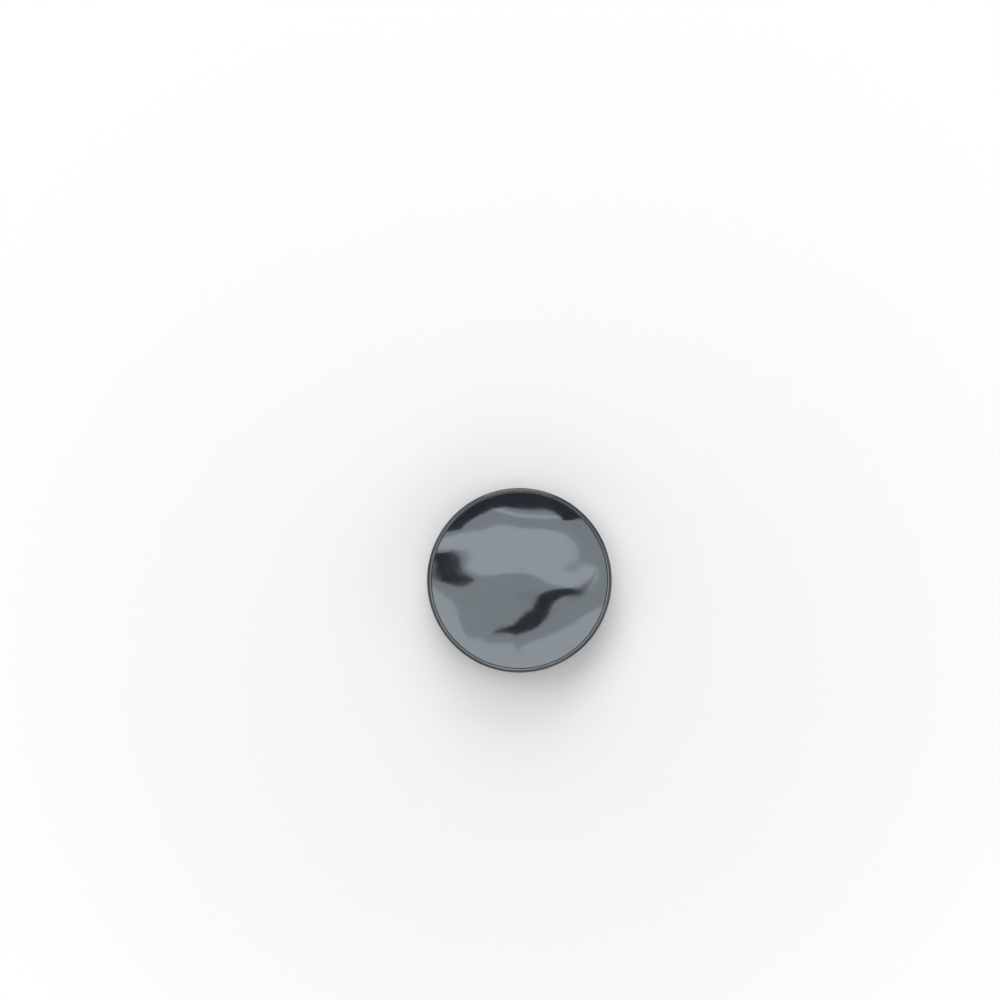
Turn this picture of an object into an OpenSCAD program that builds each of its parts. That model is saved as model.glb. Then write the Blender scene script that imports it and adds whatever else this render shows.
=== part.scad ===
// Collapsible phone grip: a flat top on folding bellows over an adhesive base.
// Units are millimetres. +Z runs from the phone towards the thumb, and the
// origin is the centre of the release liner's underside.

/* [Top] */
// Outside diameter of the top
top_d = 40; // [39:0.5:46]
// Thickness of the top plate at its rim
top_t = 2.4; // [2.2:0.1:3.4]
// Rounding of the rim's upper edge
top_edge_r = 0.9; // [0.4:0.1:1.2]
// Rounding of the rim's lower edge
top_under_r = 0.6; // [0.3:0.1:0.8]
// Width of the rim round the face disc
rim_w = 0.9; // [0.9:0.1:1.6]
// Thickness of the face disc
face_t = 0.6; // [0.4:0.05:0.8]
// Rounding of the face disc's upper edge
face_edge_r = 0.15; // [0.05:0.05:0.25]
// Thickness of the double-sided film under the face disc
face_tape_t = 0.1; // [0.05:0.05:0.2]
// Depth of the dish under the top that takes the folded bellows
dish_depth = 0.7; // [0.4:0.1:0.8]
// Space between the dish's wall and the folded bellows
dish_gap = 1.4; // [0.6:0.1:1.5]

/* [Plug] */
// Wall thickness of the plug
plug_wall = 1.1; // [0.8:0.1:1.4]
// How far the plug's hooks stand out past its wall
plug_hook = 0.6; // [0.3:0.1:0.8]
// Height of the plug's hooks
plug_hook_h = 0.9; // [0.7:0.1:1.2]
// Width of the slots that split the plug into four hooks
plug_slot_w = 1.8; // [1.2:0.1:2.6]
// Width of solid web left on each side of a moulding window
window_margin = 1.2; // [0.8:0.1:2]

/* [Bellows] */
// Pairs of folds: each opens as one stage
stages = 2; // [1:1:2]
// Height of each wall from fold to fold
fold_h = 3.7; // [3.2:0.1:4.2]
// Radial run of the standing walls
standing_run = 0.9; // [0.6:0.1:1]
// Radial run of the walls that turn over as the bellows opens
turning_run = 1.9; // [1.7:0.1:2]
// Thickness of the walls
wall_t = 0.95; // [0.7:0.05:1]
// Thickness of the thin hinges at the folds
hinge_t = 0.45; // [0.3:0.05:0.6]
// Length over which a wall thins down to its hinge
hinge_taper = 0.55; // [0.3:0.05:0.8]
// Thickness of the foot ring
foot_w = 1.4; // [1.3:0.05:1.5]
// Height of the foot ring
foot_h = 1.9; // [1.8:0.1:2.2]
// Rounding of the foot ring's upper edge
foot_edge_r = 0.3; // [0.1:0.05:0.4]
// How far the first wall's middle stands in from the foot's outside
foot_inset = 0.9; // [0.8:0.05:1]
// Width of the collar that the plug's hooks hold
collar_w = 3; // [2.6:0.1:3.4]
// Thickness of the collar
collar_t = 1.1; // [0.8:0.1:1.3]

/* [Base] */
// Outside diameter of the base
base_d = 38; // [36:0.5:39]
// Thickness of the base plate
base_t = 1.5; // [1.3:0.1:2]
// Width of the base's rim outside the bellows' foot
base_rim_w = 0.7; // [0.6:0.1:1]
// Rounding of the base's upper edge
base_edge_r = 0.5; // [0.2:0.1:0.7]
// Rounding of the base's lower edge
base_under_r = 0.2; // [0.1:0.05:0.3]
// Wall thickness of the skirt that holds the bellows' foot
skirt_w = 0.7; // [0.5:0.05:0.8]
// Height of the skirt
skirt_h = 1.5; // [1.3:0.1:1.6]
// How far the skirt's lip stands out
lip_w = 0.4; // [0.2:0.05:0.5]
// Height of the skirt's lip
lip_h = 0.6; // [0.4:0.05:0.7]

/* [Adhesive] */
// Diameter of the foam adhesive pad and its liner
pad_d = 34; // [30:0.5:36]
// Thickness of the foam adhesive pad
pad_t = 1; // [0.8:0.1:1.5]
// Depth of the recess in the base that locates the pad
pad_recess = 0.4; // [0.2:0.1:0.6]
// Thickness of the release liner
liner_t = 0.2; // [0.1:0.05:0.3]
// Width of the liner's pull tab
tab_w = 9; // [6:0.5:12]
// How far the pull tab reaches past the pad
tab_reach = 1.6; // [1:0.1:1.9]

/* [Fit] */
// Clearance of the face disc, its film and the pad in their recesses
seat_gap = 0.05; // [0.02:0.01:0.1]
// Clearance of the snap fits
snap_gap = 0.05; // [0.02:0.01:0.1]
// Running clearance above and below the folded bellows
fold_gap = 0.3; // [0.2:0.05:0.5]

/* [Pose] */
// How far the grip is opened, from folded flat to fully out
opened = 0; // [0:0.05:1]

/* [Hidden] */
$fn = 96;

// How far cutters run past the faces they cut
past = 1;

// The bellows has one standing wall more than it has turning walls
walls = 2 * stages + 1;
travel = 2 * stages * fold_h;
lift = travel * opened;

// Heights, from the liner's underside up
pad_z = liner_t;
base_z = pad_z + pad_t - pad_recess;
floor_z = base_z + base_t;
low_fold_z = floor_z + fold_gap + hinge_t / 2;
high_fold_z = low_fold_z + fold_h;
ceiling_z = high_fold_z + hinge_t / 2 + fold_gap;
top_z = ceiling_z - dish_depth;
face_tape_z = top_z + top_t - face_t - face_tape_t;
face_z = face_tape_z + face_tape_t;
collar_z = ceiling_z - collar_t;

// Radii of the base and the bellows, from the rim inwards
foot_r = base_d / 2 - base_rim_w;
foot_bore_r = foot_r - foot_w;
foot_fold_r = foot_r - foot_inset;
skirt_r = foot_bore_r - snap_gap;
lip_r = skirt_r + lip_w;
pad_r = pad_d / 2;
collar_r = fold_r(walls) + wall_t / 2;

// Radii of the top, from the rim inwards
face_r = top_d / 2 - rim_w - seat_gap;
dish_r = fold_r(1) + wall_t / 2 + dish_gap;
plug_r = collar_r - collar_w - snap_gap;
hook_r = plug_r + plug_hook;

// Even walls stand, and odd walls turn over from pointing down to pointing up
function turns(i) = i % 2 == 1;
function run(i) = turns(i) ? turning_run : standing_run;
function rise(i) = turns(i) ? fold_h * (2 * opened - 1) : fold_h;

// Radius and height of fold i: the first is in the foot, and the last is in the collar
function fold_r(i) = i == 0 ? foot_fold_r : fold_r(i - 1) - run(i - 1);
function fold_z(i) = i == 0 ? low_fold_z : fold_z(i - 1) + rise(i - 1);

// Thickness of the walls at fold i: thin, but for the ends in the foot and the collar
function end_t(i) = i == 0 || i == walls ? wall_t : hinge_t;

// Right half of a flat disc's section, with round upper and lower edges
module disc_section(r, t, upper_r, lower_r = 0) {
    square([r - upper_r, t]);
    square([r - lower_r, t - upper_r]);
    translate([0, lower_r])
        square([r, t - upper_r - lower_r]);
    translate([r - upper_r, t - upper_r])
        circle(upper_r);
    if (lower_r > 0)
        translate([r - lower_r, lower_r])
            circle(lower_r);
}

module face_disc() {
    color("#1b1d21")
        translate([0, 0, face_z + lift])
            rotate_extrude()
                disc_section(face_r, face_t, face_edge_r);
}

module face_tape() {
    color("#c9c4b4")
        translate([0, 0, face_tape_z + lift])
            cylinder(r = face_r, h = face_tape_t);
}

// Two bars that cross on the axis, from the ceiling down and up by the given lengths
module cross_bars(width, down, up) {
    for (turn = [0, 90])
        rotate(turn)
            translate([-hook_r - past, -width / 2, ceiling_z - down])
                cube([2 * (hook_r + past), width, down + up]);
}

// Section of the plug: a tube with a hook at its lower end, rooted in the web
module plug_section() {
    root = dish_depth / 2;
    hook_top = collar_z - snap_gap;
    hook_foot = hook_top - plug_hook_h;
    land = plug_hook_h / 3;
    polygon([
        [plug_r - plug_wall, ceiling_z + root],
        [plug_r - plug_wall, hook_foot],
        [plug_r, hook_foot],
        [hook_r, hook_top - land],
        [hook_r, hook_top],
        [plug_r, hook_top],
        [plug_r, ceiling_z + root]
    ]);
}

// Four sprung hooks that hold the collar against the ceiling of the dish
module plug() {
    reach = ceiling_z - collar_z + snap_gap + plug_hook_h;
    difference() {
        rotate_extrude()
            plug_section();
        cross_bars(plug_slot_w, reach + past, 0);
    }
}

// Openings over the hooks, through which the mould shapes their upper faces
module hook_windows() {
    difference() {
        translate([0, 0, ceiling_z - dish_depth / 2])
            cylinder(r = hook_r, h = dish_depth / 2 + top_t);
        translate([0, 0, ceiling_z - dish_depth])
            cylinder(r = plug_r, h = dish_depth + top_t + past);
        cross_bars(plug_slot_w + 2 * window_margin, dish_depth, top_t + past);
    }
}

module top_plate() {
    color("#202226")
        translate([0, 0, lift]) {
            difference() {
                translate([0, 0, top_z])
                    rotate_extrude()
                        disc_section(top_d / 2, top_t, top_edge_r, top_under_r);
                translate([0, 0, face_tape_z])
                    cylinder(r = face_r + seat_gap, h = top_t);
                translate([0, 0, ceiling_z - top_t])
                    cylinder(r = dish_r, h = top_t);
                hook_windows();
            }
            plug();
        }
}

// Wall i in section: a bar that thins down to a hinge at each fold
module wall_section(i) {
    across = fold_r(i + 1) - fold_r(i);
    up = fold_z(i + 1) - fold_z(i);
    length = norm([across, up]);
    translate([fold_r(i), fold_z(i)])
        rotate(atan2(up, across))
            polygon([
                [0, -end_t(i) / 2],
                [hinge_taper, -wall_t / 2],
                [length - hinge_taper, -wall_t / 2],
                [length, -end_t(i + 1) / 2],
                [length, end_t(i + 1) / 2],
                [length - hinge_taper, wall_t / 2],
                [hinge_taper, wall_t / 2],
                [0, end_t(i) / 2]
            ]);
}

// Room for the skirt and its lip inside the foot
module skirt_room() {
    translate([foot_bore_r - foot_w, floor_z - past])
        square([foot_w, past + skirt_h + snap_gap]);
    translate([foot_bore_r - past, floor_z + skirt_h - lip_h - snap_gap])
        square([past + lip_w, lip_h + 2 * snap_gap]);
}

// The whole bellows in section, from the foot through the walls to the collar
module bellows_section() {
    difference() {
        union() {
            translate([foot_bore_r, floor_z])
                square([foot_w, foot_h - foot_edge_r]);
            translate([foot_bore_r, floor_z])
                square([foot_w - foot_edge_r, foot_h]);
            translate([foot_r - foot_edge_r, floor_z + foot_h - foot_edge_r])
                circle(foot_edge_r);
            wall_section(0);
        }
        skirt_room();
    }
    for (i = [1 : walls - 1])
        wall_section(i);
    for (i = [1 : walls - 1])
        translate([fold_r(i), fold_z(i)])
            circle(d = hinge_t);
    translate([plug_r + snap_gap, collar_z + lift])
        square([collar_w, collar_t]);
}

module bellows() {
    color("#26282b")
        rotate_extrude()
            bellows_section();
}

// Skirt and lip in section: the lip is flat below and sloped above
module skirt_section() {
    polygon([
        [skirt_r - skirt_w, -base_t / 2],
        [skirt_r, -base_t / 2],
        [skirt_r, skirt_h - lip_h],
        [lip_r, skirt_h - lip_h],
        [lip_r, skirt_h - lip_h / 2],
        [skirt_r, skirt_h],
        [skirt_r - skirt_w, skirt_h]
    ]);
}

module base_plate() {
    color("#232529")
        difference() {
            union() {
                translate([0, 0, base_z])
                    rotate_extrude()
                        disc_section(base_d / 2, base_t, base_edge_r, base_under_r);
                translate([0, 0, floor_z])
                    rotate_extrude()
                        skirt_section();
            }
            translate([0, 0, base_z - past])
                cylinder(r = pad_r + seat_gap, h = past + pad_recess);
        }
}

module adhesive_pad() {
    color("#3a3c3f")
        translate([0, 0, pad_z])
            cylinder(r = pad_r, h = pad_t);
}

module release_liner() {
    color("#e9e6df")
        linear_extrude(liner_t) {
            circle(pad_r);
            translate([0, tab_w / 2 - tab_reach - pad_r])
                circle(d = tab_w);
        }
}

face_disc();
face_tape();
top_plate();
bellows();
base_plate();
adhesive_pad();
release_liner();
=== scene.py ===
"""Looks of the collapsible phone grip: finishes, finely turned pieces, folding bellows and studio.

Outlines are in millimetres. The scene is in metres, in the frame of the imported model.
"""

import math

import bmesh
import bpy
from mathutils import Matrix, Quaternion, Vector


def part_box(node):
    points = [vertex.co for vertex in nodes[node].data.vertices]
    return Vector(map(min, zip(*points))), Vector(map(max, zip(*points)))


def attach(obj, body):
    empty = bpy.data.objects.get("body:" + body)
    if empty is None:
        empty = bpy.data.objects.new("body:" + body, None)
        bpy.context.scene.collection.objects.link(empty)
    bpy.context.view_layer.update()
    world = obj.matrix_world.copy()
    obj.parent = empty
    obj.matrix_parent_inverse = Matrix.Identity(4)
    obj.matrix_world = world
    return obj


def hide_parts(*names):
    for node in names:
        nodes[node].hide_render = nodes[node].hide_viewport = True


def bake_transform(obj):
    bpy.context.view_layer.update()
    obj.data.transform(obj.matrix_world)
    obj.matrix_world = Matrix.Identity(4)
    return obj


MM = 0.001
MICRON = 1e-6

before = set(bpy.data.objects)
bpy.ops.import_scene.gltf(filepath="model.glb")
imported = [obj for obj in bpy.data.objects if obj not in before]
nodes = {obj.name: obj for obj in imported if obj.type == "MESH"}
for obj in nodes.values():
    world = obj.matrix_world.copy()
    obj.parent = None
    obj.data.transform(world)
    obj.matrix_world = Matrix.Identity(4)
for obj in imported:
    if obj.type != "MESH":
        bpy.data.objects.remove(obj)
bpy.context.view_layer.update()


# Sizes: the imported model gives the outer radii and the heights


def radius(node):
    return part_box(node)[1].x / MM


def heights(node):
    low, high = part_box(node)
    return low.z / MM, high.z / MM


FACE_R = radius("face_disc")
FACE_LOW, FACE_HIGH = heights("face_disc")
TOP_R = radius("top_plate")
PLUG_LOW, TOP_HIGH = heights("top_plate")
WEB_HIGH = heights("face_tape")[0]
BASE_R = radius("base_plate")
BASE_LOW, SKIRT_TOP = heights("base_plate")
PAD_R = radius("adhesive_pad")
PAD_LOW, PAD_HIGH = heights("adhesive_pad")
FOOT_R = radius("bellows")
FOOT_Z, COLLAR_Z = heights("bellows")

SEAT_GAP = 0.05
SNAP_GAP = 0.05
FOLD_GAP = 0.3

FACE_EDGE_R = 0.1
RIM_EDGE_R = 0.6
RIM_UNDER_R = 0.6
RIM_H = 2.4
DISH_DEPTH = 0.7
DISH_GAP = 1.4

PLUG_WALL = 1.1
PLUG_HOOK = 0.6
HOOK_H = 0.9
HOOK_LAND = HOOK_H / 3
PLUG_ROOT = DISH_DEPTH / 2
SLOT_W = 1.8
WINDOW_MARGIN = 1.2

STAGES = 2
WALLS = 2 * STAGES + 1
FOLD_H = 3.7
STANDING_RUN = 0.9
TURNING_RUN = 1.9
WALL_T = 0.95
HINGE_T = 0.45
TAPER = 0.55
FOOT_INSET = 0.9
FOOT_W = 1.4
FOOT_H = 1.9
FOOT_EDGE_R = 0.3
COLLAR_W = 3
COLLAR_T = 1.1

BASE_EDGE_R = 0.5
BASE_UNDER_R = 0.2
SKIRT_W = 0.7
SKIRT_H = 1.5
LIP_W = 0.4
LIP_H = 0.6
RECESS_DEPTH = 0.4

# Roundings of the mouldings' small corners, from a tool's sharp edge to a wall's root
CRISP = 0.03
BROKEN = 0.05
EASED = 0.1
ROOT = 0.25

LOW_FOLD_Z = FOOT_Z + FOLD_GAP + HINGE_T / 2
HIGH_FOLD_Z = LOW_FOLD_Z + FOLD_H


def fold(i):
    """Radius and height of fold i, from the foot inwards."""
    standing, turning = (i + 1) // 2, i // 2
    r = FOOT_R - FOOT_INSET - standing * STANDING_RUN - turning * TURNING_RUN
    return Vector((r, HIGH_FOLD_Z if i % 2 else LOW_FOLD_Z))


FOOT_BORE_R = FOOT_R - FOOT_W
SKIRT_R = FOOT_BORE_R - SNAP_GAP
LIP_R = SKIRT_R + LIP_W
COLLAR_R = fold(WALLS).x + WALL_T / 2
PLUG_R = COLLAR_R - COLLAR_W - SNAP_GAP
HOOK_R = PLUG_R + PLUG_HOOK
DISH_R = fold(1).x + WALL_T / 2 + DISH_GAP


# Materials

# Noise seldom leaves this middle part of its range
NOISE_LOW = 0.3
NOISE_HIGH = 0.7

# Features of the polished blacks, with the depth of their fine ripple, and of the matt ones
FLOW_MM = 9
HAZE_MM = 3.5
RIPPLE_MM = 0.6
RIPPLE_UM = 0.12
TONE_MM = 4
WEAR_MM = 1.4


def new_material(name, roughness, specular=0.5, coat=0.0):
    """A material with one Principled shader."""
    material = bpy.data.materials.new(name)
    material.use_nodes = True
    tree = material.node_tree
    tree.nodes.clear()
    output = tree.nodes.new("ShaderNodeOutputMaterial")
    shader = tree.nodes.new("ShaderNodeBsdfPrincipled")
    shader.inputs["Roughness"].default_value = roughness
    shader.inputs["Specular IOR Level"].default_value = specular
    shader.inputs["Coat Weight"].default_value = coat
    tree.links.new(shader.outputs["BSDF"], output.inputs["Surface"])
    return material, tree, shader


def coordinates(tree, stretch=(1, 1, 1)):
    """Coordinates of the piece itself, in metres."""
    place = tree.nodes.new("ShaderNodeTexCoord")
    mapping = tree.nodes.new("ShaderNodeMapping")
    mapping.inputs["Scale"].default_value = stretch
    tree.links.new(place.outputs["Object"], mapping.inputs["Vector"])
    return mapping.outputs["Vector"]


def noise(tree, vector, size_mm, detail=4.0, rough=0.55):
    """Noise whose features are about size_mm across."""
    texture = tree.nodes.new("ShaderNodeTexNoise")
    texture.inputs["Scale"].default_value = 1 / (size_mm * MM)
    texture.inputs["Detail"].default_value = detail
    texture.inputs["Roughness"].default_value = rough
    tree.links.new(vector, texture.inputs["Vector"])
    return texture.outputs["Fac"]


def cells(tree, vector, size_mm):
    """Distance from the middles of round cells about size_mm apart."""
    texture = tree.nodes.new("ShaderNodeTexVoronoi")
    texture.inputs["Scale"].default_value = 1 / (size_mm * MM)
    tree.links.new(vector, texture.inputs["Vector"])
    return texture.outputs["Distance"]


def ramp(tree, value, low, high, *between):
    """Maps a value to colours. Each stop is a (place, colour) pair."""
    node = tree.nodes.new("ShaderNodeValToRGB")
    stops = node.color_ramp.elements
    for element, (place, colour) in zip(stops, (low, high)):
        element.position = place
        element.color = (*colour, 1)
    for place, colour in between:
        stops.new(place).color = (*colour, 1)
    tree.links.new(value, node.inputs["Fac"])
    return node.outputs["Color"]


def spread(tree, value, low, high, start=NOISE_LOW, end=NOISE_HIGH):
    """Maps a value from start to end to low to high."""
    node = tree.nodes.new("ShaderNodeMapRange")
    node.inputs["From Min"].default_value = start
    node.inputs["From Max"].default_value = end
    node.inputs["To Min"].default_value = low
    node.inputs["To Max"].default_value = high
    tree.links.new(value, node.inputs["Value"])
    return node.outputs["Result"]


def tint(tree, shader, value, low, high, start=NOISE_LOW, end=NOISE_HIGH):
    """Colours the shader from low to high where the value runs from start to end."""
    tree.links.new(ramp(tree, value, (start, low), (end, high)), shader.inputs["Base Color"])


def bump(tree, shader, height, depth_um, under=None):
    """Adds relief depth_um micrometres deep, over the relief in under."""
    node = tree.nodes.new("ShaderNodeBump")
    node.inputs["Strength"].default_value = 1
    node.inputs["Distance"].default_value = depth_um * MICRON
    tree.links.new(height, node.inputs["Height"])
    if under is not None:
        tree.links.new(under, node.inputs["Normal"])
    tree.links.new(node.outputs["Normal"], shader.inputs["Normal"])
    return node.outputs["Normal"]


def gloss_black(name, dark, light, rough_low, rough_high, wave_mm, wave_um, specular=0.5):
    """Polished black: faint flow in the colour, handling haze in the gloss, and a slow waviness."""
    material, tree, shader = new_material(name, rough_low, specular)
    place = coordinates(tree)
    tint(tree, shader, noise(tree, place, FLOW_MM, detail=3), dark, light)
    haze = noise(tree, place, HAZE_MM, detail=6, rough=0.65)
    tree.links.new(spread(tree, haze, rough_low, rough_high), shader.inputs["Roughness"])
    waves = bump(tree, shader, noise(tree, place, wave_mm, detail=0.5), wave_um)
    bump(tree, shader, noise(tree, place, RIPPLE_MM, detail=2), RIPPLE_UM, under=waves)
    return material


def grained_black(name, dark, light, rough_low, rough_high, grain_mm, grain_um, specular=0.5):
    """Matt black moulding or rubber with a fine, even grain."""
    material, tree, shader = new_material(name, rough_high, specular)
    place = coordinates(tree)
    tint(tree, shader, noise(tree, place, TONE_MM, detail=5, rough=0.6), dark, light)
    wear = spread(tree, noise(tree, place, WEAR_MM), rough_low, rough_high)
    tree.links.new(wear, shader.inputs["Roughness"])
    bump(tree, shader, noise(tree, place, grain_mm, detail=3, rough=0.7), grain_um)
    return material


def foam(name, dark, light, cell_mm, cell_um):
    """Closed-cell foam: small round cells that the cut edge opens, with painted shade down in each
    cell.
    """
    material, tree, shader = new_material(name, roughness=0.85, specular=0.3)
    pores = cells(tree, coordinates(tree), cell_mm)
    # Darker towards each cell's middle, where the bump dips: painted shade in the open cells
    tint(tree, shader, pores, dark, light, start=0.05, end=0.75)
    bump(tree, shader, pores, cell_um)
    return material


def release_paper(name, dark, light, fibre_mm, fibre_um):
    """Coated paper with faint long fibres under a thin gloss."""
    material, tree, shader = new_material(name, roughness=0.4, specular=0.4, coat=0.15)
    place = coordinates(tree, stretch=(1, 0.35, 1))
    fibres = noise(tree, place, fibre_mm, detail=6, rough=0.7)
    tint(tree, shader, fibres, dark, light, start=0.25, end=0.75)
    tree.links.new(spread(tree, fibres, low=0.32, high=0.5), shader.inputs["Roughness"])
    bump(tree, shader, fibres, fibre_um)
    return material


def film(name, dark, light, bubble_mm):
    """Double-sided film: milky, with small trapped bubbles."""
    material, tree, shader = new_material(name, roughness=0.5)
    bubbles = cells(tree, coordinates(tree), bubble_mm)
    tint(tree, shader, bubbles, light, dark, start=0.1, end=0.5)
    return material


FACE = gloss_black(
    "face",
    dark=(0.0045, 0.0078, 0.012),
    light=(0.008, 0.0118, 0.017),
    rough_low=0.012,
    rough_high=0.03,
    wave_mm=18,
    wave_um=150,
)
TOP = gloss_black(
    "top",
    dark=(0.006, 0.0085, 0.012),
    light=(0.0095, 0.013, 0.0175),
    rough_low=0.07,
    rough_high=0.12,
    wave_mm=7,
    wave_um=6,
    specular=0.65,
)
BASE = grained_black(
    "base",
    dark=(0.010, 0.011, 0.013),
    light=(0.016, 0.017, 0.02),
    rough_low=0.38,
    rough_high=0.5,
    grain_mm=0.12,
    grain_um=7,
)
RUBBER = grained_black(
    "bellows",
    dark=(0.009, 0.0095, 0.0105),
    light=(0.016, 0.0165, 0.018),
    rough_low=0.5,
    rough_high=0.64,
    grain_mm=0.09,
    grain_um=6,
    specular=0.4,
)
FOAM = foam(
    "foam", dark=(0.012, 0.0125, 0.0135), light=(0.04, 0.0415, 0.044), cell_mm=0.16, cell_um=45
)
LINER = release_paper(
    "liner", dark=(0.62, 0.6, 0.54), light=(0.76, 0.745, 0.695), fibre_mm=0.5, fibre_um=4
)
FILM = film("film", dark=(0.52, 0.49, 0.41), light=(0.62, 0.59, 0.5), bubble_mm=0.8)

for node, material in (("face_tape", FILM), ("release_liner", LINER)):
    for slot in nodes[node].material_slots:
        slot.material = material


# Outlines with round corners

ARC_STEP = math.radians(9)
# The most of its shorter side that an arc takes up
EDGE_SHARE = 0.94
# A point this far beside each arc keeps the shading of the flat level
SIDE_STEP = 0.02


def corner(p, before, after, rounding):
    """The arc that rounds corner p between the points before and after it."""
    u, v = (before - p).normalized(), (after - p).normalized()
    half = u.angle(v) / 2
    room = EDGE_SHARE * min((before - p).length, (after - p).length)
    reach = min(rounding / math.tan(half), room)
    centre = p + (u + v).normalized() * (reach / math.cos(half))
    start, end = p + u * reach - centre, p + v * reach - centre
    sweep = math.pi - 2 * half
    turn = sweep if start.x * end.y - start.y * end.x > 0 else -sweep
    steps = max(2, math.ceil(sweep / ARC_STEP))
    arc = []
    for k in range(steps + 1):
        c, s = math.cos(turn * k / steps), math.sin(turn * k / steps)
        arc.append(centre + Vector((start.x * c - start.y * s, start.x * s + start.y * c)))
    return arc


def rounded(points):
    """An outline of (point, tag, rounding) with its corners rounded, as (point, tag)."""
    done = []
    for k, (p, tag, rounding) in enumerate(points):
        if rounding == 0:
            done.append((p, tag))
        else:
            before, after = points[k - 1][0], points[(k + 1) % len(points)][0]
            done += [(q, tag) for q in corner(p, before, after, rounding)]
    return done


def outline(*points):
    """The rounded outline of (radius, height, rounding) points, its sides flat up to each arc."""
    marked = [(Vector((r, z)), k, rounding) for k, (r, z, rounding) in enumerate(points)]
    arcs = rounded(marked)
    done = []
    for (p, one), (q, other) in zip(arcs, arcs[1:] + arcs[:1]):
        done.append(p)
        step = (q - p).normalized() * SIDE_STEP
        if one != other and (q - p).length > 3 * SIDE_STEP:
            if points[one][2]:
                done.append(p + step)
            if points[other][2]:
                done.append(q - step)
    return done


# Turned pieces

TURNS_ROUND = 288
SMOOTH_BELOW = math.radians(32)
HOOK_STEPS = 40
WINDOW_STEPS = 24
# How far the window cutter stands out of the web on both sides
CUTTER_REACH = 0.5


def new_piece(name, vertices, faces, material):
    mesh = bpy.data.meshes.new(name)
    mesh.from_pydata([(x * MM, y * MM, z * MM) for x, y, z in vertices], [], faces)
    mesh.materials.append(material)
    piece = bpy.data.objects.new(name, mesh)
    bpy.context.scene.collection.objects.link(piece)
    return piece


def finished(piece):
    """Outward faces, and smooth shading but for sharp corners."""
    mesh = bmesh.new()
    mesh.from_mesh(piece.data)
    bmesh.ops.recalc_face_normals(mesh, faces=mesh.faces)
    mesh.to_mesh(piece.data)
    mesh.free()
    piece.data.shade_smooth()
    piece.data.set_sharp_from_angle(angle=SMOOTH_BELOW)
    return piece


def round_axis(r, z, angle):
    return r * math.cos(angle), r * math.sin(angle), z


def turned(name, points, material, solid=True):
    """An outline turned round the axis. A solid one has flat ends, and otherwise it is closed."""
    rings = len(points)
    vertices = []
    for step in range(TURNS_ROUND):
        vertices += [round_axis(p.x, p.y, math.tau * step / TURNS_ROUND) for p in points]
    faces = []
    for step in range(TURNS_ROUND):
        here, there = step * rings, (step + 1) % TURNS_ROUND * rings
        for k in range(rings - 1 if solid else rings):
            n = (k + 1) % rings
            faces.append((here + k, there + k, there + n, here + n))
    if solid:
        faces.append([step * rings for step in range(TURNS_ROUND)])
        faces.append([step * rings + rings - 1 for step in range(TURNS_ROUND)])
    return new_piece(name, vertices, faces, material)


def quarter_angles(r, gap, steps):
    """Angles across a quarter turn at radius r, between gaps of parallel sides on the two axes."""
    edge = math.asin(gap / 2 / r)
    return [edge + (math.pi / 2 - 2 * edge) * k / steps for k in range(steps + 1)]


def hooks(name, points, gap, material):
    """A closed outline turned into four hooks with parallel-sided slots between them."""
    rings = len(points)
    spans = [quarter_angles(p.x, gap, HOOK_STEPS) for p in points]
    vertices, faces = [], []
    for quarter in range(4):
        first = len(vertices)
        for step in range(HOOK_STEPS + 1):
            for p, span in zip(points, spans):
                vertices.append(round_axis(p.x, p.y, span[step] + quarter * math.pi / 2))
        for step in range(HOOK_STEPS):
            here = first + step * rings
            for k in range(rings):
                n = (k + 1) % rings
                faces.append((here + k, here + rings + k, here + rings + n, here + n))
        faces.append([first + k for k in range(rings)])
        faces.append([first + HOOK_STEPS * rings + k for k in range(rings)])
    return new_piece(name, vertices, faces, material)


def window_cutter(inner, outer, gap, low, high):
    """Four curved bars that pass through the web over the hooks."""
    rim = [(outer, a) for a in quarter_angles(outer, gap, WINDOW_STEPS)]
    rim += [(inner, a) for a in reversed(quarter_angles(inner, gap, WINDOW_STEPS))]
    count = len(rim)
    vertices, faces = [], []
    for quarter in range(4):
        first = len(vertices)
        for z in (low, high):
            vertices += [round_axis(r, z, a + quarter * math.pi / 2) for r, a in rim]
        for k in range(count):
            n = (k + 1) % count
            faces.append((first + k, first + n, first + count + n, first + count + k))
        faces.append([first + k for k in range(count)])
        faces.append([first + count + k for k in range(count)])
    return finished(new_piece("window_cutter", vertices, faces, TOP))


def cut_away(piece, cutter):
    """Takes the cutter's space out of the piece, and the cutter out of the scene."""
    modifier = piece.modifiers.new("cut", "BOOLEAN")
    modifier.operation = "DIFFERENCE"
    modifier.solver = "EXACT"
    modifier.object = cutter
    depsgraph = bpy.context.evaluated_depsgraph_get()
    result = bpy.data.meshes.new_from_object(piece.evaluated_get(depsgraph))
    piece.modifiers.clear()
    piece.data = result
    bpy.data.objects.remove(cutter)


def joined(piece, other):
    """Both meshes in the first piece."""
    mesh = bmesh.new()
    mesh.from_mesh(piece.data)
    mesh.from_mesh(other.data)
    mesh.to_mesh(piece.data)
    mesh.free()
    bpy.data.objects.remove(other)
    return piece


def stands_for(node):
    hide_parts(node)


# The top: a glossy face in a rimmed plate, with four plug hooks under it

# A disc's outline starts this far inside its last feature, because flat faces need no more points
FLAT = 1


def make_face():
    points = outline(
        (FACE_R - FLAT, FACE_HIGH, 0),
        (FACE_R, FACE_HIGH, FACE_EDGE_R),
        (FACE_R, FACE_LOW, BROKEN),
        (FACE_R - FLAT, FACE_LOW, 0),
    )
    face = finished(turned("face_disc_moulding", points, FACE))
    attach(face, "top")
    stands_for("face_disc")


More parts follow.
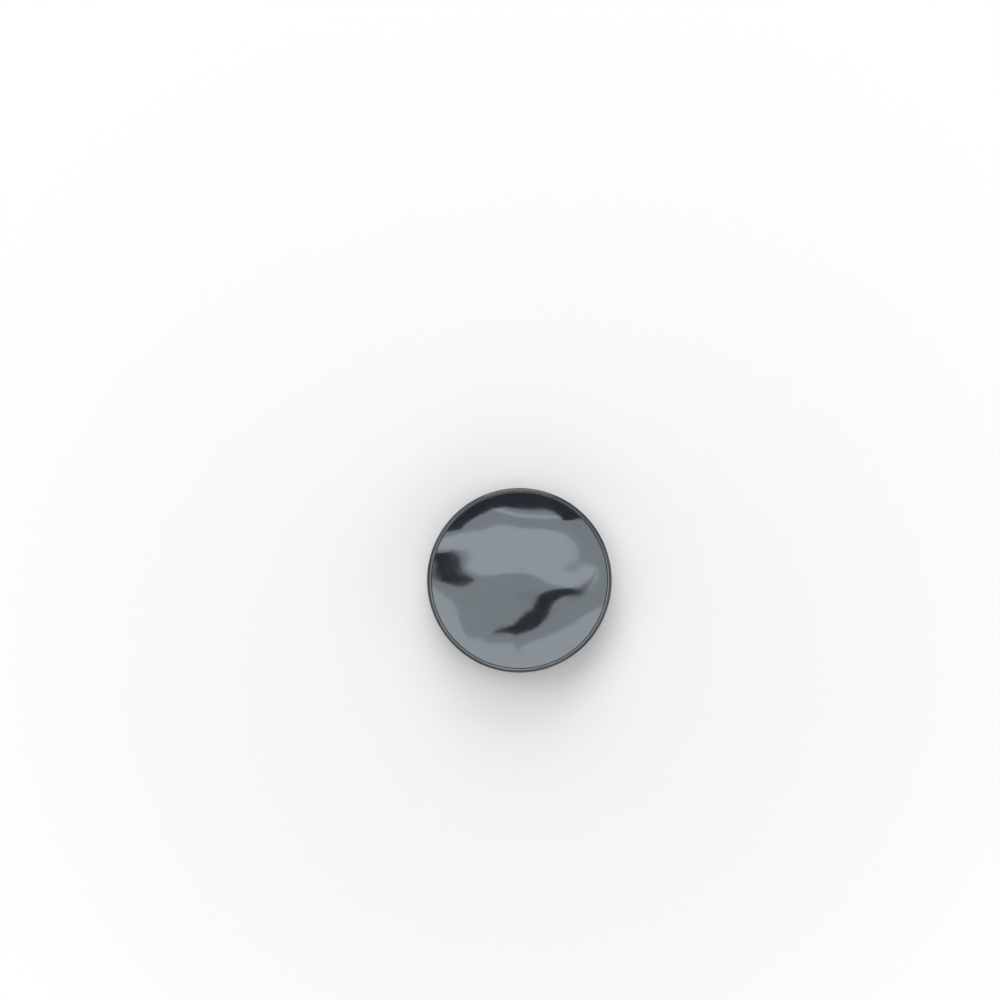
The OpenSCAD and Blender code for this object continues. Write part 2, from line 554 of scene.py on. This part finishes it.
def make_top():
    rim_low = TOP_HIGH - RIM_H
    ceiling = rim_low + DISH_DEPTH
    bore_r = FACE_R + SEAT_GAP
    points = outline(
        (bore_r - FLAT, WEB_HIGH, 0),
        (bore_r, WEB_HIGH, BROKEN),
        (bore_r, TOP_HIGH, BROKEN),
        (TOP_R, TOP_HIGH, RIM_EDGE_R),
        (TOP_R, rim_low, RIM_UNDER_R),
        (DISH_R, rim_low, EASED),
        (DISH_R, ceiling, EASED),
        (DISH_R - FLAT, ceiling, 0),
    )
    plate = turned("top_plate_moulding", points, TOP)
    window_gap = SLOT_W + 2 * WINDOW_MARGIN
    low, high = ceiling - CUTTER_REACH, WEB_HIGH + CUTTER_REACH
    cut_away(plate, window_cutter(PLUG_R, HOOK_R, window_gap, low, high))
    hook_top = PLUG_LOW + HOOK_H
    hook_points = outline(
        (PLUG_R - PLUG_WALL, ceiling + PLUG_ROOT, 0),
        (PLUG_R - PLUG_WALL, PLUG_LOW, EASED),
        (PLUG_R, PLUG_LOW, EASED),
        (HOOK_R, hook_top - HOOK_LAND, BROKEN),
        (HOOK_R, hook_top, BROKEN),
        (PLUG_R, hook_top, 0),
        (PLUG_R, ceiling + PLUG_ROOT, 0),
    )
    plate = finished(joined(plate, hooks("plug", hook_points, SLOT_W, TOP)))
    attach(plate, "top")
    stands_for("top_plate")


# The base with its skirt, and the foam pad in its recess


def make_base():
    base_top = SKIRT_TOP - SKIRT_H
    lip_low = SKIRT_TOP - LIP_H
    bore_r = SKIRT_R - SKIRT_W
    recess_r = PAD_R + SEAT_GAP
    points = outline(
        (bore_r - FLAT, base_top, 0),
        (bore_r, base_top, EASED),
        (bore_r, SKIRT_TOP, EASED),
        (SKIRT_R, SKIRT_TOP, BROKEN),
        (LIP_R, SKIRT_TOP - LIP_H / 2, BROKEN),
        (LIP_R, lip_low, CRISP),
        (SKIRT_R, lip_low, 0),
        (SKIRT_R, base_top, 0),
        (BASE_R, base_top, BASE_EDGE_R),
        (BASE_R, BASE_LOW, BASE_UNDER_R),
        (recess_r, BASE_LOW, BROKEN),
        (recess_r, BASE_LOW + RECESS_DEPTH, 0),
        (recess_r - FLAT, BASE_LOW + RECESS_DEPTH, 0),
    )
    base = finished(turned("base_plate_moulding", points, BASE))
    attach(base, "base")
    stands_for("base_plate")


def make_pad():
    points = outline(
        (PAD_R - FLAT, PAD_HIGH, 0),
        (PAD_R, PAD_HIGH, BROKEN),
        (PAD_R, PAD_LOW, BROKEN),
        (PAD_R - FLAT, PAD_LOW, 0),
    )
    pad = finished(turned("foam_pad", points, FOAM))
    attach(pad, "base")
    stands_for("adhesive_pad")


# The bellows: one moulding, turned from its section, which is built wall by wall

HINGE_STEPS = 8
WALL_EASE = 0.3


def wall_axes(i):
    """Start, length, direction and left normal of wall i."""
    start, end = fold(i), fold(i + 1)
    along = (end - start).normalized()
    return start, (end - start).length, along, Vector((-along.y, along.x))


def wall_side(i, side):
    """Points on one side of wall i from fold to fold. Side is 1 for left and -1 for right."""
    start, length, along, left = wall_axes(i)
    first_t = WALL_T if i == 0 else HINGE_T
    last_t = WALL_T if i == WALLS - 1 else HINGE_T
    rows = (
        (0, first_t, 0),
        (TAPER, WALL_T, WALL_EASE),
        (length - TAPER, WALL_T, WALL_EASE),
        (length, last_t, 0),
    )
    return [
        (start + along * run + left * (side * t / 2), i, rounding) for run, t, rounding in rows
    ]


def hinge_round(i, side):
    """Points round the outside of fold i: over the top of a high fold, and under a low one."""
    before, after = wall_axes(i - 1)[3] * side, wall_axes(i)[3] * side
    start, end = math.atan2(before.y, before.x), math.atan2(after.y, after.x)
    turn = (end - start) % math.tau
    if (math.sin(start + turn / 2) > 0) != (i % 2 == 1):
        turn -= math.tau
    points = []
    for k in range(1, HINGE_STEPS):
        angle = start + turn * k / HINGE_STEPS
        points.append((fold(i) + Vector((math.cos(angle), math.sin(angle))) * HINGE_T / 2, -i, 0))
    return points


def crossing(side_points, axis, value):
    """Where a wall's face meets the given radius (axis 0) or height (axis 1)."""
    p, q = side_points[1][0], side_points[2][0]
    return p + (q - p) * ((value - p[axis]) / (q[axis] - p[axis]))


def bellows_section():
    """The outline from the foot up the outer side to the collar, and back down the inner side.

    Its points are (point, wall), and a negative wall is the hinge of that fold.
    """
    last = WALLS - 1
    groove_r = FOOT_BORE_R + LIP_W
    groove_top = FOOT_Z + SKIRT_H + SNAP_GAP
    groove_low = FOOT_Z + SKIRT_H - LIP_H - SNAP_GAP
    collar_low = COLLAR_Z - COLLAR_T
    collar_bore_r = PLUG_R + SNAP_GAP
    right = [wall_side(i, -1) for i in range(WALLS)]
    left = [wall_side(i, 1) for i in range(WALLS)]
    points = [
        (Vector((FOOT_BORE_R, FOOT_Z)), 0, EASED),
        (Vector((FOOT_R, FOOT_Z)), 0, EASED),
        (Vector((FOOT_R, FOOT_Z + FOOT_H)), 0, FOOT_EDGE_R),
        (crossing(right[0], 1, FOOT_Z + FOOT_H), 0, ROOT),
        *right[0][2:],
    ]
    for i in range(1, WALLS):
        if i % 2:
            points += hinge_round(i, -1)
        points += right[i][:2] if i == last else right[i]
    points += [
        (crossing(right[last], 0, COLLAR_R), last, ROOT),
        (Vector((COLLAR_R, COLLAR_Z)), last, EASED),
        (Vector((collar_bore_r, COLLAR_Z)), last, EASED),
        (Vector((collar_bore_r, collar_low)), last, EASED),
        (crossing(left[last], 1, collar_low), last, ROOT),
        *reversed(left[last][:2]),
    ]
    for i in range(last - 1, -1, -1):
        if i % 2:
            points += reversed(hinge_round(i + 1, 1))
        points += reversed(left[i] if i else left[i][2:])
    points += [
        (crossing(left[0], 1, groove_top), 0, BROKEN),
        (Vector((groove_r, groove_top)), 0, 0),
        (Vector((groove_r, groove_low)), 0, 0),
        (Vector((FOOT_BORE_R, groove_low)), 0, BROKEN),
    ]
    return rounded(points)


def make_bellows():
    section = bellows_section()
    points = [point for point, wall in section]
    bellows = finished(turned("bellows_moulding", points, RUBBER, solid=False))
    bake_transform(bellows)
    stands_for("bellows")


make_face()
make_top()
make_base()
make_pad()
make_bellows()


# Studio: a white floor that fades into a white surround, under a dark ceiling with a pale ring

# The floor's half width and its drop below the grip in millimetres, and its fade in metres
FLOOR_HALF = 4000
FLOOR_DROP = 0.02
FLOOR_TONE = (0.93, 0.93, 0.93, 1)
FADE_FROM = 0.03
FADE_TO = 0.14

# What gloss mirrors of the surround, by the height of the direction: white, and then a dark
# ceiling. PALE_RING gives the heights where a pale ring in it starts, is full, fades and ends.
WHITE = (1.0, 1.0, 1.0)
CEILING = (0.32, 0.36, 0.4)
CEILING_FROM = 0.16
CEILING_TO = 0.32
PALE_RING = (0.62, 0.7, 0.985, 0.996)
SURROUND_LIGHT = 0.14


def background(tree, strength=1):
    """A white surround of the given strength."""
    node = tree.nodes.new("ShaderNodeBackground")
    node.inputs["Color"].default_value = (*WHITE, 1)
    node.inputs["Strength"].default_value = strength
    return node


def chosen(tree, share, one, other):
    """One shader where the share is 0 and the other where it is 1."""
    mix = tree.nodes.new("ShaderNodeMixShader")
    tree.links.new(share, mix.inputs["Fac"])
    tree.links.new(one, mix.inputs[1])
    tree.links.new(other, mix.inputs[2])
    return mix.outputs["Shader"]


def make_floor():
    """Round the grip the floor takes its shadow, and farther out it glows as white as the surround."""
    material, tree, shader = new_material("floor", roughness=0.9, specular=0)
    shader.inputs["Base Color"].default_value = FLOOR_TONE
    place = tree.nodes.new("ShaderNodeTexCoord")
    distance = tree.nodes.new("ShaderNodeVectorMath")
    distance.operation = "LENGTH"
    glow = tree.nodes.new("ShaderNodeEmission")
    tree.links.new(place.outputs["Object"], distance.inputs[0])
    far = spread(tree, distance.outputs["Value"], 0, 1, FADE_FROM, FADE_TO)
    floor = chosen(tree, far, shader.outputs["BSDF"], glow.outputs["Emission"])
    surface = next(n for n in tree.nodes if n.type == "OUTPUT_MATERIAL").inputs["Surface"]
    tree.links.new(floor, surface)
    turns = [math.pi / 4 + quarter * math.pi / 2 for quarter in range(4)]
    corners = [round_axis(FLOOR_HALF * math.sqrt(2), -FLOOR_DROP, turn) for turn in turns]
    new_piece("floor", corners, [(0, 1, 2, 3)], material)


def make_world():
    """White where it is seen, soft where it lights, and with a dark ceiling where gloss mirrors it."""
    world = bpy.data.worlds.new("studio")
    bpy.context.scene.world = world
    world.use_nodes = True
    tree = world.node_tree
    tree.nodes.clear()
    mirrored = background(tree)
    direction = tree.nodes.new("ShaderNodeTexCoord")
    parts = tree.nodes.new("ShaderNodeSeparateXYZ")
    tree.links.new(direction.outputs["Generated"], parts.inputs["Vector"])
    ring = zip(PALE_RING, (CEILING, WHITE, WHITE, CEILING))
    up = parts.outputs["Z"]
    tone = ramp(tree, up, (CEILING_FROM, WHITE), (1, CEILING), (CEILING_TO, CEILING), *ring)
    tree.links.new(tone, mirrored.inputs["Color"])
    ray = tree.nodes.new("ShaderNodeLightPath").outputs
    seen = tree.nodes.new("ShaderNodeMath")
    seen.operation = "MAXIMUM"
    tree.links.new(ray["Is Camera Ray"], seen.inputs[0])
    tree.links.new(ray["Is Transmission Ray"], seen.inputs[1])
    lit = background(tree, SURROUND_LIGHT).outputs["Background"]
    white = background(tree).outputs["Background"]
    shown = chosen(tree, seen.outputs["Value"], lit, white)
    studio = chosen(tree, ray["Is Glossy Ray"], shown, mirrored.outputs["Background"])
    output = tree.nodes.new("ShaderNodeOutputWorld")
    tree.links.new(studio, output.inputs["Surface"])


make_floor()
make_world()


# The camera looks straight down, over the middle of the photograph

# The photograph's width, the grip's width in it, and the grip's axis from its middle
FRAME_PIXELS = 1000
TOP_PIXELS = 185
AXIS_PIXELS = Vector((19.4, -80.4))
PIXEL = 2 * TOP_R * MM / TOP_PIXELS
DISTANCE = 0.6
FACE_Z = FACE_HIGH * MM
EYE = -AXIS_PIXELS * PIXEL

camera_data = bpy.data.cameras.new("camera")
camera_data.lens = camera_data.sensor_width * DISTANCE / (FRAME_PIXELS * PIXEL)
camera = bpy.data.objects.new("camera", camera_data)
camera.location = (EYE.x, EYE.y, FACE_Z + DISTANCE)
bpy.context.scene.collection.objects.link(camera)
bpy.context.scene.camera = camera
bpy.context.scene.view_settings.view_transform = "Standard"


# Lamps: softboxes round the grip, and lamps high overhead that the face and the rim mirror

# The face mirrors a field of lamps at one height, which don't add up where they overlap. The gaps
# in it are the dark shapes: a crescent at the back, a leaf at the left and one at the right. Lamps
# a little lower add their light to it and are the pale shapes. The rim mirrors the ring round it.
OVERHEAD_Z = 1.4
PALE_Z = 1.38
FIELD_LIGHT = 4.5
LENS_LIGHT = 2.7
STREAK_LIGHT = 2.4
FRONT_LIGHT = 2.3
RING_LIGHT = 1.1
RING_HOLE = 24
RING_REACH = 200
RING_WIDTH = RING_REACH - RING_HOLE
RING_MIDDLE = (RING_REACH + RING_HOLE) / 2
NEUTRAL = (1, 1, 1)
COOL = (0.84, 0.94, 1)


def softbox(name, place, size, radiance, target=(0, 0, 0), turn=0, tone=NEUTRAL, oval=False):
    """A flat lamp, in metres, that faces the target, turned by some degrees in its own plane."""
    light = bpy.data.lights.new(name, "AREA")
    light.shape = "ELLIPSE" if oval else "RECTANGLE"
    light.color = tone
    light.size, light.size_y = size
    area = size[0] * size[1] * (math.pi / 4 if oval else 1)
    light.energy = radiance * math.pi * area
    lamp = bpy.data.objects.new(name, light)
    lamp.location = place
    facing = (Vector(target) - Vector(place)).to_track_quat("-Z", "Y")
    lamp.rotation_euler = (facing @ Quaternion((0, 0, 1), math.radians(turn))).to_euler()
    bpy.context.scene.collection.objects.link(lamp)


def mirrored_box(name, middle, size, radiance, turn=0, height=OVERHEAD_Z, tone=COOL, oval=False):
    """A lamp high overhead, placed and sized in millimetres as the camera finds it in the face."""
    # By how much the camera's rays spread on their way from the face to the lamp
    growth = 1 + (height - FACE_Z) / DISTANCE
    place = EYE + (Vector(middle) * MM - EYE) * growth
    size = [side * MM * growth for side in size]
    below = (place.x, place.y, 0)
    softbox(name, (place.x, place.y, height), size, radiance, below, turn, tone, oval)


softbox("key", (-0.29, 0.51, 0.75), (1.2, 0.5), 1.9)
softbox("back", (0, 0.85, 0.4), (0.7, 0.4), 4.2)
softbox("right", (0.75, -0.1, 0.42), (0.8, 0.45), 1.2)
softbox("front", (0.1, -0.75, 0.42), (0.8, 0.45), 1.1)
softbox("left", (-0.7, -0.3, 0.42), (0.6, 0.4), 0.9)
mirrored_box("overhead_back", (-1, 9), (26, 12.2), FIELD_LIGHT, oval=True)
mirrored_box("overhead_band", (0, 6.35), (44, 6.3), FIELD_LIGHT)
mirrored_box("overhead_edge", (-17.9, -4.3), (16, 10), FIELD_LIGHT, turn=-26)
mirrored_box("overhead_left", (-8.9, -4.6), (23.3, 12.8), FIELD_LIGHT, turn=50)
mirrored_box("overhead_middle", (9, 3.1), (26, 6), FIELD_LIGHT, turn=25)
mirrored_box("overhead_right", (14.2, -7.7), (28, 14), FIELD_LIGHT, turn=39)
mirrored_box("overhead_front", (-0.9, -19.1), (18.7, 14), FIELD_LIGHT, turn=35)
mirrored_box("overhead_end", (-7.6, -14.6), (8, 6), FIELD_LIGHT, turn=40)
mirrored_box("overhead_notch", (-13, 4.4), (9, 4), FIELD_LIGHT, turn=-33)
mirrored_box("overhead_lens", (-2, 4.4), (38, 6), LENS_LIGHT, turn=-6, height=PALE_Z, oval=True)
mirrored_box("overhead_streak", (0.5, 12.3), (22, 1.8), STREAK_LIGHT, turn=-8, height=PALE_Z, oval=True)
mirrored_box("overhead_front_left", (-12.8, -12.8), (28, 9), FRONT_LIGHT, turn=-45, height=PALE_Z)
mirrored_box("overhead_front_right", (9.6, -14), (32, 10), FRONT_LIGHT, turn=31, height=PALE_Z)
for name, y in (("ring_back", RING_MIDDLE), ("ring_front", -RING_MIDDLE)):
    mirrored_box(name, (0, y), (2 * RING_REACH, RING_WIDTH), RING_LIGHT, tone=NEUTRAL)
for name, x in (("ring_left", -RING_MIDDLE), ("ring_right", RING_MIDDLE)):
    mirrored_box(name, (x, 0), (RING_WIDTH, 2 * RING_HOLE), RING_LIGHT, tone=NEUTRAL)
